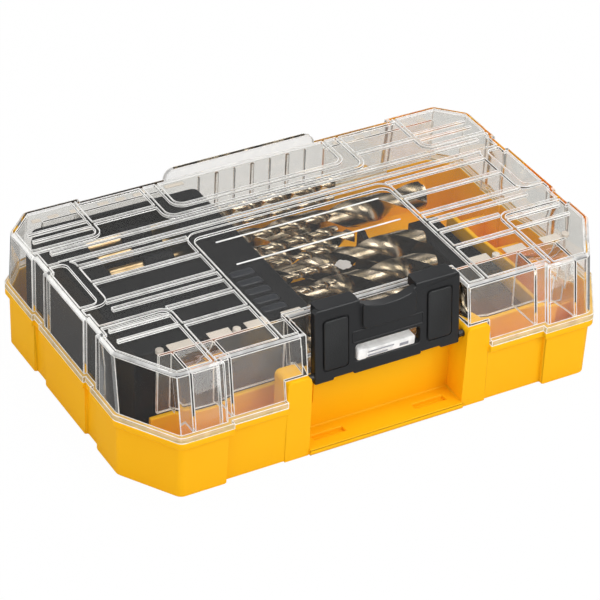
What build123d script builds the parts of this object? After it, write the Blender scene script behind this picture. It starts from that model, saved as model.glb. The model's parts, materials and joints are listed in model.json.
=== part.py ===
from build123d import *
from math import atan, ceil, cos, pi, radians, sin, sqrt, tan
import os

# Drill bit case: a moulded tray with a clear hinged lid, a front latch and a black rack
# that holds fourteen twist drills lying side by side in two tiers.
# Millimetres. +X runs along the width, +Y to the hinge at the back, +Z up.
# The origin is on the face that the tray stands on, under the middle of the case.

# ---- driving dimensions: the tray ------------------------------------------------------
tray_half_width = 113.3  # at the foot of the corner blocks
tray_front = 70.7  # from the origin to the corner blocks' front face
tray_back = 69.6  # and to their back face
tray_height = 28.5  # to the top of the rim
tray_wall = 2.2
tray_floor = 2.4
tray_flare = 0.4  # the walls lean out by this much on their way up
rim_height = 3.0
rim_reach = 1.6  # the rim bead stands out from the wall
rim_break = 0.5
foot_chamfer = 0.5

# the plan of the case: corner blocks, middle blocks and the steps between them
front_step_x = 76.5  # where the front wall steps back
front_step = 2.3
side_step = 1.4
side_front_block = -27.0  # the corner block ends here, along Y
side_mid_front = -16.0
side_mid_back = 22.0
side_back_block = 33.0
front_cut_x = 16.0  # the slanted front corner, along X and Y
front_cut_y = 25.0
back_cut = 11.7
corner_round = 4.0

# the bay for the latch, between two ears
bay_half_width = 37.0
bay_wall_y = -56.0  # the wall at the back of the bay
ear_width = 11.4
ear_height = 39.5
ear_depth = 12.5
ear_round = 2.4
ledge_height = 3.0
ledge_reach = 1.4  # the ledge stands out in front of the wall
lip_break = 0.75
slot_length = 15.0
slot_width = 3.2
slot_x = 24.5
slot_y = -62.6
bay_panel_height = 16.0  # the faint raised panel on the bay's wall
bay_panel_half_width = 29.0
bay_panel_thickness = 0.5

divider_x = 92.0  # the divider inside the tray's right end
divider_front = -48.0
divider_back = 34.0
divider_height = 22.0
divider_ribs = (-38.0, 2.0, 30.0)
front_fence_left = -100.0  # the low wall inside the front, from here to the divider
front_fence_height = 27.0

# ---- driving dimensions: the lid -------------------------------------------------------
part_gap = 0.3  # between the tray's rim and the lid's flange
lid_wall = 2.0
lid_top = 58.4  # the border, the ribs and the frames all reach this height
lid_recess = 1.2  # the plate between them lies this much lower
lid_plate = 1.3
lid_border = 2.4
lid_flange = 2.7
lid_half_width = 113.8  # at the top
lid_front = 66.0  # from the origin to the corner blocks' front face, at the top
lid_back = 66.9
lid_edge_round = 1.2
lid_bay_wall_top = -50.0
lid_bay_gap = 1.3  # the lid's bay is this much wider than the tray's, on each side
rib_width = 1.9
inner_rib = 1.3
front_inner_rib_y = -49.0
back_inner_rib_foot = 36.0
back_inner_rib_y = 58.6
inner_rib_start = 40.0
inner_rib_end = 97.0
web_foot = 30.5  # the webs between the front wall and the wall inside it
middle_web_x = 72.5
corner_web_x = 91.0
pad_start_x = 79.0
rear_pad_y = 36.6
front_pad_y = -22.4
pad_round = 5.0
side_pad_x = 99.0
side_pad_bar = 4.0
side_pad_front = -9.6
side_pad_back = 25.8
frame_half_width = 49.7
frame_back_y = 21.2
frame_round = 6.0
frame_back_width = 4.0
rear_frame_y = 35.6
rear_inner_half_width = 42.5
rear_inner_y = 42.1
long_rib_ys = (33.4, 25.3)
side_rib_ys = (19.4, 6.4, -8.1, -14.1, -22.9, -35.9)
rear_rib_y = 46.7
long_rib_end = 105.0
pad_rib_end = 108.0
pad_rib_ys = (49.7, 44.3, -27.3, -35.0)
rail_half_width = 37.0
rail_thickness = 2.2
rail_top = 63.4
rail_y = 63.4
rail_round = 5.0
tongue_half_width = 12.4
tongue_foot = 38.2
tongue_top = 44.0
tongue_front_y = -61.5
tongue_round = 1.0

# ---- driving dimensions: the hinge -----------------------------------------------------
hinge_y = 72.6
hinge_z = 29.4
knuckle_radius = 2.6
hinge_pin_radius = 1.25
running_clearance = 0.08
hinge_x = 58.0  # middle of each of the two hinges
lid_knuckle = 12.0
tray_knuckle = 7.0
knuckle_gap = 0.35
pin_head_radius = 1.9
pin_head = 1.2

# ---- driving dimensions: the latch -----------------------------------------------------
latch_half_width = 34.4
latch_thickness = 3.3
latch_foot = 34.2
latch_top = 66.6
latch_lean = 6.0  # degrees, backwards
latch_front_y = -66.4  # the front face at the foot
cap_back_y = -55.2
cap_height = 4.2
cap_inner_x = 13.4
cap_outer_x = 32.4
cap_round = 1.6
grip_half_width = 12.6
grip_foot = 53.5
grip_top = 65.2
grip_reach = 1.7
grip_dip = 2.6
grip_round = 2.4
window_half_width = 15.4
window_foot = 38.6
window_top = 46.2
window_round = 1.4
panel_half_width = 6.2
panel_x = 24.6
panel_foot = 37.8
panel_top = 62.0
panel_sink = 0.5
panel_round = 1.8
shoe_start_x = 25.4
shoe_drop = 1.2
shoe_middle = 16.0  # half the width of the middle shoe
pivot_y = -64.6
pivot_z = 36.0
pivot_radius = 1.5
pivot_reach = 3.2  # how far each stub enters its ear

# ---- driving dimensions: the rack ------------------------------------------------------
rack_left = -104.0
rack_right = -25.5
rack_front = -45.0
rack_back = 56.0
rack_top = 55.2
rack_wall = 2.0
rack_plate = 2.0
rack_face = 4.0  # the right wall, with the holes
rack_round = 3.0
window_left = -88.0  # the open stretch above the shanks
window_right = -47.0
window_front = 9.0
sleeve_left = -66.0
sleeve_right = -52.0
sleeve_web = 3.0
sleeve_wall = 1.6
collar_length = 14.0
lower_stop_top = 36.0
upper_stop_top = 47.0
short_stop_foot = 38.0
shank_clearance = 0.1
rest_right = 88.0  # the low floor under the flutes ends here
end_rest_left = 74.0
rest_floor = 2.0
rest_front = -44.0
rest_back = 38.0
end_rest_height = 19.0
saddle_x = 47.0
saddle_thickness = 3.0
saddle_height = 23.0
saddle_clearance = 0.5

# ---- driving dimensions: the drills ----------------------------------------------------
upper_z = 44.0
lower_z = 26.0
long_tail = -82.0  # the shanks' ends along X: the four longest of the upper row,
short_tail = -46.0  # the other four of the upper row,
lower_tail = -64.0  # and the lower row
point_angle = 118.0
helix_angle = 31.0
core_share = 0.3  # the web between the two flutes, as a share of the diameter
land_angle = 38.0  # half of the turn that one land takes up
flute_start = -21.0
section_turn = 40.0  # between two neighbouring sections of the flutes
tail_chamfer = 0.4
stop_gap = 0.3  # between a shank's end and the bottom of its sleeve

# each drill: its node's name, diameter, place along Y, height, shank end and point along X
drills = [
    ("drill_upper_1", 5.6, 48.6, upper_z, long_tail, 41.0),
    ("drill_upper_2", 5.2, 37.4, upper_z, long_tail, 34.0),
    ("drill_upper_3", 4.8, 26.2, upper_z, long_tail, 29.0),
    ("drill_upper_4", 4.4, 15.0, upper_z, long_tail, 23.0),
    ("drill_upper_5", 3.6, 3.0, upper_z, short_tail, 16.0),
    ("drill_upper_6", 3.2, -8.4, upper_z, short_tail, 9.0),
    ("drill_upper_7", 2.8, -19.8, upper_z, short_tail, 2.0),
    ("drill_upper_8", 2.4, -31.2, upper_z, short_tail, -3.0),
    ("drill_lower_1", 12.7, 46.6, lower_z, lower_tail, 89.0),
    ("drill_lower_2", 7.9, 31.4, lower_z, lower_tail, 42.0),
    ("drill_lower_3", 11.9, 16.4, lower_z, lower_tail, 70.0),
    ("drill_lower_4", 11.1, -1.2, lower_z, lower_tail, 65.0),
    ("drill_lower_5", 10.3, -18.0, lower_z, lower_tail, 60.0),
    ("drill_lower_6", 9.5, -33.6, lower_z, lower_tail, 56.0),
]

ear_front_y = front_step - tray_front - tray_flare
lid_foot = tray_height + part_gap
lid_plate_top = lid_top - lid_recess

os.makedirs("parts", exist_ok=True)


def level(height):
    """The plane across the case at a height."""
    return Plane.XY.offset(height)


def slab(x_range, y_range, z_range, mode=Mode.ADD):
    """A block between six coordinates, in the part being built."""
    (x0, x1), (y0, y1), (z0, z1) = x_range, y_range, z_range
    with Locations(((x0 + x1) / 2, (y0 + y1) / 2, (z0 + z1) / 2)):
        return Box(x1 - x0, y1 - y0, z1 - z0, mode=mode)


def half_plan(half_width, depths, bay_y, bay_x, grow=0.0):
    """The right half of the case's outline, from the bay round to the back, grown outwards."""
    w, front, back = half_width + grow, depths[0] + grow, depths[1] + grow
    cut_x = front_cut_x + grow * (1 - tan(atan(front_cut_y / front_cut_x) / 2))
    cut_y = front_cut_y + grow * (1 - tan(atan(front_cut_x / front_cut_y) / 2))
    cut = back_cut + grow * (1 - tan(pi / 8))
    step_x = front_step_x - grow
    return [
        (0, bay_y - grow),
        (bay_x - grow, bay_y - grow),
        (bay_x - grow, front_step - front),
        (step_x, front_step - front),
        (step_x, -front),
        (w - cut_x, -front),
        (w, cut_y - front),
        (w, side_front_block + grow),
        (w - side_step, side_front_block + grow),
        (w - side_step, side_mid_front - grow),
        (w, side_mid_front - grow),
        (w, side_mid_back + grow),
        (w - side_step, side_mid_back + grow),
        (w - side_step, side_back_block - grow),
        (w, side_back_block - grow),
        (w, back - cut),
        (w - cut, back),
        (step_x, back),
        (step_x, back - front_step),
        (0, back - front_step),
    ]


def plan_sketch(height, half_width, depths, bay_y, bay_x, grow=0.0, rounded=True):
    """The outline of the case as a face at a height, with its upright corners rounded."""
    right = half_plan(half_width, depths, bay_y, bay_x, grow)
    left = [(-x, y) for x, y in reversed(right)]
    with BuildSketch(level(height)) as outline:
        with BuildLine():
            Polyline(*right, *left[1:-1], close=True)
        make_face()
        if rounded:
            front_end = side_front_block - corner_round
            back_start = side_back_block + corner_round
            corners = [
                v for v in outline.vertices().filter_by(lambda v: abs(v.X) > front_step_x + corner_round)
                if v.Y < front_end or v.Y > back_start
            ]
            fillet(corners, corner_round)
    return outline.sketch


def hinge_knuckle(x_start, x_end):
    """A hinge knuckle on the hinge's axis, between two places along X."""
    low, high = sorted((x_start, x_end))
    with BuildSketch(Plane.YZ.offset(low)) as disc:
        with Locations((hinge_y, hinge_z)):
            Circle(knuckle_radius)
    extrude(disc.sketch, amount=high - low)


def hinge_web(x_start, x_end, z_start, z_end):
    """The web that ties a knuckle to the wall in front of it."""
    low, high = sorted((x_start, x_end))
    slab((low, high), (tray_back - front_step, hinge_y), (z_start, z_end))


def hinge_bore(side):
    """The bore for the pin through one of the two hinges."""
    reach = lid_knuckle / 2 + knuckle_gap + tray_knuckle + 1
    with BuildSketch(Plane.YZ.offset(side * hinge_x - reach)) as disc:
        with Locations((hinge_y, hinge_z)):
            Circle(hinge_pin_radius + running_clearance)
    extrude(disc.sketch, amount=2 * reach, mode=Mode.SUBTRACT)


# ---- the tray --------------------------------------------------------------------------
def tray_plan(height, grow=0.0, rounded=True):
    """The tray's outer outline at a height, or one grown from it."""
    lean = tray_flare * height / tray_height
    return plan_sketch(
        height, tray_half_width, (tray_front, tray_back), bay_wall_y, bay_half_width, lean + grow, rounded
    )


with BuildPart() as tray:
    with BuildSketch(level(0)):
        add(tray_plan(0, -foot_chamfer))
    with BuildSketch(level(foot_chamfer)):
        add(tray_plan(foot_chamfer))
    with BuildSketch(level(tray_height)):
        add(tray_plan(tray_height))
    loft(ruled=True)
    # the rim bead, round every wall but the bay, with its upper edge broken
    for bottom, top, draw_in in (
        (tray_height - rim_height, tray_height - rim_break, 0.0),
        (tray_height - rim_break, tray_height, rim_break),
    ):
        with BuildSketch(level(bottom)):
            add(tray_plan(tray_height, rim_reach))
        with BuildSketch(level(top)):
            add(tray_plan(tray_height, rim_reach - draw_in))
        loft(ruled=True)
    slab(
        (-bay_half_width - ear_width, bay_half_width + ear_width),
        (-2 * tray_front, ear_front_y),
        (tray_height - rim_height, tray_height),
        Mode.SUBTRACT,
    )
    slab(
        (-bay_half_width, bay_half_width), (-2 * tray_front, bay_wall_y), (0, tray_height),
        Mode.SUBTRACT,
    )
    # the inside
    with BuildSketch(level(tray_floor)):
        add(tray_plan(tray_floor, -tray_wall, False))
    with BuildSketch(level(tray_height)):
        add(tray_plan(tray_height, -tray_wall, False))
    loft(ruled=True, mode=Mode.SUBTRACT)

    # the ears beside the bay
    ear_middle = bay_half_width + ear_width / 2
    with BuildSketch(Plane.XZ.offset(-ear_front_y)) as ears:
        with Locations(*[(side * ear_middle, ear_height / 2) for side in (-1, 1)]):
            Rectangle(ear_width, ear_height)
        fillet(ears.vertices().group_by(Axis.Y)[-1], ear_round)
    extrude(amount=-ear_depth)
    # the ledge under the bay, with its two slots
    ledge_front_y = ear_front_y - ledge_reach
    with BuildSketch(Plane.YZ.offset(-bay_half_width)):
        with BuildLine():
            Polyline(
                (bay_wall_y + tray_wall / 2, 0), (ledge_front_y + lip_break, 0),
                (ledge_front_y, lip_break), (ledge_front_y, ledge_height - lip_break),
                (ledge_front_y + lip_break, ledge_height), (bay_wall_y + tray_wall / 2, ledge_height),
                close=True,
            )
        make_face()
    extrude(amount=2 * bay_half_width)
    with BuildSketch(level(ledge_height)):
        with Locations((-slot_x, slot_y), (slot_x, slot_y)):
            Rectangle(slot_length, slot_width)
    extrude(amount=-ledge_height, mode=Mode.SUBTRACT)
    # the faint panel on the bay's wall
    slab(
        (-bay_panel_half_width, bay_panel_half_width),
        (bay_wall_y - bay_panel_thickness, bay_wall_y),
        (bay_panel_height, tray_height - rim_height),
    )
    # the bores in the ears for the latch's stubs
    for side in (-1, 1):
        with BuildSketch(Plane.YZ.offset(side * bay_half_width)):
            with Locations((pivot_y, pivot_z)):
                Circle(pivot_radius + running_clearance)
        extrude(amount=side * (pivot_reach + part_gap), mode=Mode.SUBTRACT)
    # the tray's half of the two hinges
    for side in (-1, 1):
        for end in (-1, 1):
            start = side * hinge_x + end * (lid_knuckle / 2 + knuckle_gap)
            hinge_web(start, start + end * tray_knuckle, tray_height - rim_height, tray_height)
            hinge_knuckle(start, start + end * tray_knuckle)
        hinge_bore(side)
        # room for the lid's knuckle in the rim
        with BuildSketch(Plane.YZ.offset(side * hinge_x - lid_knuckle / 2 - knuckle_gap)) as room:
            with Locations((hinge_y, hinge_z)):
                Circle(knuckle_radius + part_gap)
        extrude(amount=lid_knuckle + 2 * knuckle_gap, mode=Mode.SUBTRACT)
    # the divider at the right end and the ribs that brace it
    slab(
        (divider_x, divider_x + tray_wall),
        (divider_front, divider_back),
        (tray_floor / 2, divider_height),
    )
    for rib_y in divider_ribs:
        slab(
            (divider_x, tray_half_width - side_step - tray_wall / 2),
            (rib_y - inner_rib / 2, rib_y + inner_rib / 2),
            (tray_floor / 2, divider_height - 4),
        )
    # the low wall inside the front
    slab(
        (front_fence_left, divider_x + tray_wall),
        (divider_front - tray_wall, divider_front),
        (tray_floor / 2, front_fence_height),
    )
tray.part.label = "tray"
export_step(tray.part, "parts/tray.step")


# ---- the lid ---------------------------------------------------------------------------
def up_lid(height):
    """How far up the lid's walls a height lies, from 0 at the foot to 1 at the top."""
    return (height - lid_foot) / (lid_top - lid_foot)


def lid_plan(height, grow=0.0, rounded=True):
    """The lid's outer outline at a height: the walls lean in towards the top."""
    share = up_lid(height)
    foot = (tray_half_width + tray_flare, tray_front + tray_flare, tray_back + tray_flare, bay_wall_y)
    top = (lid_half_width, lid_front, lid_back, lid_bay_wall_top)
    w, front, back, bay_y = (low + (high - low) * share for low, high in zip(foot, top))
    return plan_sketch(height, w, (front, back), bay_y, bay_half_width + lid_bay_gap, grow, rounded)


def front_wall_y(height, step):
    """The middle of the lid's front wall at a height, where the wall stands back by the step."""
    front = tray_front + tray_flare
    return step + lid_wall / 2 - front + (front - lid_front) * up_lid(height)


def lid_rib(x_range, y, width, z_start, z_end):
    """A straight rib along X."""
    slab(x_range, (y - width / 2, y + width / 2), (z_start, z_end))


def flat_rib(x_range, y, width):
    """The plan of a straight rib, left standing in the sketch that is being built."""
    with Locations(((x_range[0] + x_range[1]) / 2, y)):
        Rectangle(x_range[1] - x_range[0], width, mode=Mode.SUBTRACT)


def flat_frame(x_range, y_range, widths, radius):
    """The plan of a frame with round corners; widths are those of its left, right, front and back."""
    (x0, x1), (y0, y1) = x_range, y_range
    left, right, front, back = widths
    inner = max(radius - min(widths), radius / 4)
    with BuildSketch() as frame:
        with Locations(((x0 + x1) / 2, (y0 + y1) / 2)):
            RectangleRounded(x1 - x0, y1 - y0, radius)
        with Locations(((x0 + left + x1 - right) / 2, (y0 + front + y1 - back) / 2)):
            RectangleRounded(x1 - x0 - left - right, y1 - y0 - front - back, inner, mode=Mode.SUBTRACT)
    return frame.sketch


with BuildPart() as lid:
    with BuildSketch(level(lid_foot)):
        add(lid_plan(lid_foot))
    with BuildSketch(level(lid_top)):
        add(lid_plan(lid_top))
    loft(ruled=True)
    fillet(lid.edges().group_by(Axis.Z)[-1], lid_edge_round)
    # the plate lies a little lower than the border, the frames and the ribs
    far_x, far_y = 2 * tray_half_width, 2 * tray_front
    with BuildSketch(level(lid_top)):
        add(lid_plan(lid_top, -lid_border, False))
        for x_half, y_range, back_width in (
            (frame_half_width, (-far_y, frame_back_y), frame_back_width),
            (frame_half_width, (rear_frame_y, far_y), rib_width),
            (rear_inner_half_width, (rear_inner_y, far_y), rib_width),
        ):
            widths = (rib_width, rib_width, rib_width, back_width)
            add(flat_frame((-x_half, x_half), y_range, widths, frame_round), mode=Mode.SUBTRACT)
        for side in (-1, 1):
            for inner_x, width, y_range in (
                (pad_start_x, rib_width, (rear_pad_y, far_y)),
                (pad_start_x, rib_width, (-far_y, front_pad_y)),
                (side_pad_x, side_pad_bar, (side_pad_front, side_pad_back)),
            ):
                x_range = sorted((side * inner_x, side * far_x))
                widths = (width, width, rib_width, rib_width)
                add(flat_frame(x_range, y_range, widths, pad_round), mode=Mode.SUBTRACT)
            for rib_y in side_rib_ys:
                far = pad_start_x + rib_width / 2 if rib_y < front_pad_y + rib_width else side_pad_x + 1
                flat_rib(sorted((side * (frame_half_width - 1), side * far)), rib_y, rib_width)
            flat_rib(sorted((side * (frame_half_width - 1), side * (pad_start_x + 1))), rear_rib_y, rib_width)
            for rib_y in pad_rib_ys:
                flat_rib(sorted((side * (pad_start_x + rib_width), side * pad_rib_end)), rib_y, inner_rib)
        for rib_y in long_rib_ys:
            flat_rib((-long_rib_end, long_rib_end), rib_y, rib_width)
    extrude(amount=-lid_recess, mode=Mode.SUBTRACT)
    # the flange that rests on the tray's rim
    with BuildSketch(level(lid_foot)):
        add(tray_plan(tray_height, rim_reach))
    extrude(amount=lid_flange)
    slab(
        (-bay_half_width - ear_width, bay_half_width + ear_width),
        (-2 * tray_front, ear_front_y + part_gap),
        (lid_foot, lid_foot + lid_flange),
        Mode.SUBTRACT,
    )
    slab(
        (-bay_half_width, bay_half_width), (-2 * tray_front, bay_wall_y),
        (lid_foot, lid_foot + lid_flange), Mode.SUBTRACT,
    )
    # the inside
    with BuildSketch(level(lid_foot)):
        add(lid_plan(lid_foot, -lid_wall, False))
    with BuildSketch(level(lid_plate_top - lid_plate)):
        add(lid_plan(lid_plate_top - lid_plate, -lid_wall, False))
    loft(ruled=True, mode=Mode.SUBTRACT)
    rib_top = lid_plate_top - lid_plate / 2
    # the walls inside the front and back, which also stiffen the plate
    for side in (-1, 1):
        ends = sorted((side * inner_rib_start, side * inner_rib_end))
        lid_rib(ends, front_inner_rib_y, inner_rib, lid_foot, rib_top)
        lid_rib(ends, back_inner_rib_y, inner_rib, back_inner_rib_foot, rib_top)
    # the webs between the front wall and the wall inside it
    for web_x, step in ((middle_web_x, front_step), (corner_web_x, 0)):
        for side in (-1, 1):
            with BuildSketch(Plane.YZ.offset(side * web_x - inner_rib / 2)):
                with BuildLine():
                    Polyline(
                        (front_wall_y(web_foot, step), web_foot), (front_wall_y(rib_top, step), rib_top),
                        (front_inner_rib_y, rib_top), (front_inner_rib_y, web_foot), close=True,
                    )
                make_face()
            extrude(amount=inner_rib)
    # room for the tray's ears
    slab(
        (-bay_half_width - ear_width - part_gap, bay_half_width + ear_width + part_gap),
        (-2 * tray_front, ear_front_y + ear_depth + part_gap),
        (lid_foot, ear_height + part_gap),
        Mode.SUBTRACT,
    )
    with BuildSketch(level(lid_foot)):
        add(lid_plan(lid_foot))
        with Locations((0, bay_wall_y + lid_wall / 2)):
            Rectangle(2 * (bay_half_width - part_gap), lid_wall, mode=Mode.INTERSECT)
    extrude(amount=ear_height + part_gap - lid_foot)
    # the upright rail along the back edge
    rail_foot = lid_plate_top - lid_plate
    with BuildSketch(Plane.XZ.offset(-(rail_y + rail_thickness / 2))) as rail:
        with Locations((0, (rail_foot + rail_top) / 2)):
            Rectangle(2 * rail_half_width, rail_top - rail_foot)
        fillet(rail.vertices().group_by(Axis.Y)[-1], rail_round)
    extrude(amount=rail_thickness)
    # the tongue that fills the latch's window
    slab(
        (-tongue_half_width, tongue_half_width),
        (tongue_front_y, bay_wall_y + 1.75 * lid_wall),
        (tongue_foot, tongue_top),
    )
    tongue_edges = lid.edges().filter_by(Axis.X).filter_by_position(
        Axis.Y, tongue_front_y - 0.01, tongue_front_y + 0.01
    )
    fillet(tongue_edges, tongue_round)
    # the lid's half of the two hinges, and room for the tray's half
    for side in (-1, 1):
        reach = lid_knuckle / 2 + knuckle_gap + tray_knuckle + knuckle_gap
        start, end = side * hinge_x - lid_knuckle / 2, side * hinge_x + lid_knuckle / 2
        with BuildSketch(Plane.YZ.offset(side * hinge_x - reach)):
            with Locations((hinge_y, hinge_z)):
                Circle(knuckle_radius + part_gap)
        extrude(amount=2 * reach, mode=Mode.SUBTRACT)
        hinge_web(start, end, lid_foot, lid_foot + lid_flange)
        hinge_knuckle(start, end)
        hinge_bore(side)
lid.part.label = "lid"
export_step(lid.part, "parts/lid.step")


# ---- the hinge pins --------------------------------------------------------------------
pin_half = lid_knuckle / 2 + knuckle_gap + tray_knuckle
for side, side_name in ((-1, "left"), (1, "right")):
    with BuildPart() as hinge_pin:
        for start, length, radius in (
            (-pin_half - pin_head, 2 * (pin_half + pin_head), hinge_pin_radius),
            (-pin_half - pin_head, pin_head, pin_head_radius),
            (pin_half, pin_head, pin_head_radius),
        ):
            with BuildSketch(Plane.YZ.offset(side * hinge_x + start)):
                with Locations((hinge_y, hinge_z)):
                    Circle(radius)
            extrude(amount=length)
        chamfer(hinge_pin.edges().filter_by(GeomType.CIRCLE).group_by(Axis.X)[0], pin_head / 4)
        chamfer(hinge_pin.edges().filter_by(GeomType.CIRCLE).group_by(Axis.X)[-1], pin_head / 4)
    hinge_pin.part.label = "hinge_pin_" + side_name
    export_step(hinge_pin.part, "parts/hinge_pin_" + side_name + ".step")


# ---- the latch -------------------------------------------------------------------------
lean_cos, lean_sin = cos(radians(latch_lean)), sin(radians(latch_lean))
latch_face = Plane(
    origin=(0, latch_front_y, latch_foot), x_dir=(1, 0, 0), z_dir=(0, -lean_cos, lean_sin)
)


def up_face(height):
    """How far up the latch's leaning face a height lies, from the latch's foot."""
    return (height - latch_foot) / lean_cos


def on_face(x0, x1, z_start, z_end, corner):
    """A rounded rectangle on the latch's face, between two places along X and two heights."""
    low, high = sorted((x0, x1))
    with Locations(((low + high) / 2, up_face((z_start + z_end) / 2))):
        RectangleRounded(high - low, up_face(z_end) - up_face(z_start), corner)


with BuildPart() as latch:
    # the leaning panel, with its two side shoes and its middle shoe
    with BuildSketch(latch_face):
        on_face(-latch_half_width, latch_half_width, latch_foot, latch_top, cap_round)
        for x0, x1 in (
            (-latch_half_width, -shoe_start_x), (-shoe_middle, shoe_middle), (shoe_start_x, latch_half_width)
        ):
            on_face(x0, x1, latch_foot - shoe_drop, latch_foot + 3 * shoe_drop, shoe_drop / 2)
    extrude(amount=-latch_thickness)
    # the proud grip
    with BuildSketch(latch_face):
        on_face(-grip_half_width, grip_half_width, grip_foot, grip_top, grip_round)
    extrude(amount=grip_reach)
    # the two caps that reach back over the bay
    top_front_y = latch_front_y + (latch_top - latch_foot) * lean_sin / lean_cos
    for side in (-1, 1):
        with BuildSketch(level(latch_top - cap_height)):
            with Locations((side * (cap_inner_x + cap_outer_x) / 2, (top_front_y + 1 + cap_back_y) / 2)):
                RectangleRounded(cap_outer_x - cap_inner_x, cap_back_y - top_front_y - 1, cap_round)
        extrude(amount=cap_height)
    # the dip between the caps
    dip_radius = (cap_inner_x ** 2 + grip_dip ** 2) / (2 * grip_dip)
    with BuildSketch(latch_face):
        with Locations((0, up_face(grip_top) - grip_dip + dip_radius)):
            Circle(dip_radius)
        with Locations((0, up_face(latch_top) + grip_dip)):
            Rectangle(2 * cap_inner_x, 2 * up_face(grip_top) - 2 * up_face(grip_foot), mode=Mode.INTERSECT)
    extrude(amount=latch_thickness + grip_reach, both=True, mode=Mode.SUBTRACT)
    # the window for the lid's tongue, and the sunken panels beside it
    with BuildSketch(latch_face):
        on_face(-window_half_width, window_half_width, window_foot, window_top, window_round)
    extrude(amount=-latch_thickness, mode=Mode.SUBTRACT)
    with BuildSketch(latch_face):
        for middle in (-panel_x, panel_x):
            on_face(
                middle - panel_half_width, middle + panel_half_width, panel_foot, panel_top, panel_round
            )
    extrude(amount=-panel_sink, mode=Mode.SUBTRACT)
    # the stubs that turn in the ears
    for side in (-1, 1):
        with BuildSketch(Plane.YZ.offset(side * (latch_half_width - latch_thickness))) as stub:
            with Locations((pivot_y, pivot_z)):
                Circle(pivot_radius)
        extrude(amount=side * (bay_half_width + pivot_reach - latch_half_width + latch_thickness))
latch.part.label = "latch"
export_step(latch.part, "parts/latch.step")


# ---- the rack --------------------------------------------------------------------------
def along_x(radius, y, z, x_start, x_end, mode=Mode.ADD):
    """A round bar along X, in the part being built."""
    with BuildSketch(Plane.YZ.offset(x_start)) as disc:
        with Locations((y, z)):
            Circle(radius)
    extrude(disc.sketch, amount=x_end - x_start, mode=mode)


with BuildPart() as bit_rack:
    with BuildSketch(level(tray_floor)) as foot:
        with Locations(((rack_left + rack_right) / 2, (rack_front + rack_back) / 2)):
            RectangleRounded(rack_right - rack_left, rack_back - rack_front, rack_round)
    extrude(amount=rack_top - tray_floor)
    inner_y = (rack_front + rack_wall, rack_back - rack_wall)
    slab(
        (rack_left + rack_wall, rack_right - rack_face), inner_y, (tray_floor, rack_top - rack_plate),
        Mode.SUBTRACT,
    )
    # the open stretch over the shanks
    slab(
        (window_left, window_right), (window_front, rack_back - rack_wall), (rack_top - rack_plate, rack_top),
        Mode.SUBTRACT,
    )
    # the wall that carries the sleeves, and the three stops behind the shanks
    slab((sleeve_right - sleeve_web, sleeve_right), inner_y, (tray_floor, upper_z))
    stops = (
        (long_tail, inner_y, tray_floor, upper_stop_top),
        (lower_tail, inner_y, tray_floor, lower_stop_top),
        (short_tail, (inner_y[0], window_front - rack_wall), short_stop_foot, rack_top - rack_plate),
    )
    for tail, y_range, foot_z, top_z in stops:
        slab((tail - stop_gap - rack_wall, tail - stop_gap), y_range, (foot_z, top_z))
    for name, diameter, y, z, tail, tip in drills:
        sleeve_radius = diameter / 2 + shank_clearance + sleeve_wall
        if tail == long_tail:
            along_x(sleeve_radius, y, z, sleeve_left, sleeve_right)
        if tail == short_tail:
            along_x(sleeve_radius, y, z, rack_right - collar_length, rack_right)
    for name, diameter, y, z, tail, tip in drills:
        along_x(diameter / 2 + shank_clearance, y, z, tail - stop_gap, rack_right + 1, Mode.SUBTRACT)
bit_rack.part.label = "bit_rack"
export_step(bit_rack.part, "parts/bit_rack.step")

with BuildPart() as bit_rest:
    rest_top = tray_floor + rest_floor
    slab((rack_right, rest_right), (rest_front, rest_back), (tray_floor, rest_top))
    slab((end_rest_left, rest_right), (rest_front, rest_back), (tray_floor, end_rest_height))
    slab(
        (end_rest_left + rack_wall, rest_right - rack_wall),
        (rest_front + rack_wall, rest_back - rack_wall),
        (tray_floor, end_rest_height - rack_wall),
        Mode.SUBTRACT,
    )
    slab((saddle_x, saddle_x + saddle_thickness), (rest_front, rest_back), (tray_floor, saddle_height))
    for name, diameter, y, z, tail, tip in drills:
        if z == lower_z:
            along_x(diameter / 2 + saddle_clearance, y, z, rack_right, rest_right + 1, Mode.SUBTRACT)
bit_rest.part.label = "bit_rest"
export_step(bit_rest.part, "parts/bit_rest.step")


# ---- the drills ------------------------------------------------------------------------
def drill_part(diameter, y, z, tail, tip):
    """A twist drill along X: a round shank, two helical flutes and a point."""
    radius = diameter / 2
    across, rise = radius * cos(radians(land_angle)), radius * sin(radians(land_angle))
    core = core_share * radius
    pitch = pi * diameter / tan(radians(helix_angle))
    full_turn = 360 * (tip - flute_start) / pitch
    steps = ceil(full_turn / section_turn)
    with BuildPart() as drill:
        for step in range(steps + 1):
            turn = radians(full_turn * step / steps)
            place = flute_start + (tip - flute_start) * step / steps
            with BuildSketch(Plane((place, y, z), x_dir=(0, cos(turn), sin(turn)), z_dir=(1, 0, 0))):
                with BuildLine():
                    ThreePointArc((across, -rise), (radius, 0), (across, rise))
                    ThreePointArc((across, rise), (0, core), (-across, rise))
                    ThreePointArc((-across, rise), (-radius, 0), (-across, -rise))
                    ThreePointArc((-across, -rise), (0, -core), (across, -rise))
                make_face()
        loft()
        # the point: everything in front of its cone goes
        outside = radius + 0.5
        with BuildSketch(Plane.XZ.move(Location((0, y, z)))):
            with BuildLine():
                back = tip - outside / tan(radians(point_angle / 2))
                Polyline((tip, 0), (back, outside), (tip + 0.5, outside), (tip + 0.5, 0), close=True)
            make_face()
        revolve(axis=Axis((0, y, z), (1, 0, 0)), mode=Mode.SUBTRACT)
        with BuildSketch(Plane.YZ.offset(tail)):
            with Locations((y, z)):
                Circle(radius)
        extrude(amount=flute_start - tail)
        chamfer(drill.edges().group_by(Axis.X)[0], tail_chamfer)
    return drill.part


for name, diameter, y, z, tail, tip in drills:
    twist_drill = drill_part(diameter, y, z, tail, tip)
    twist_drill.label = name
    export_step(twist_drill, "parts/" + name + ".step")
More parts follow.
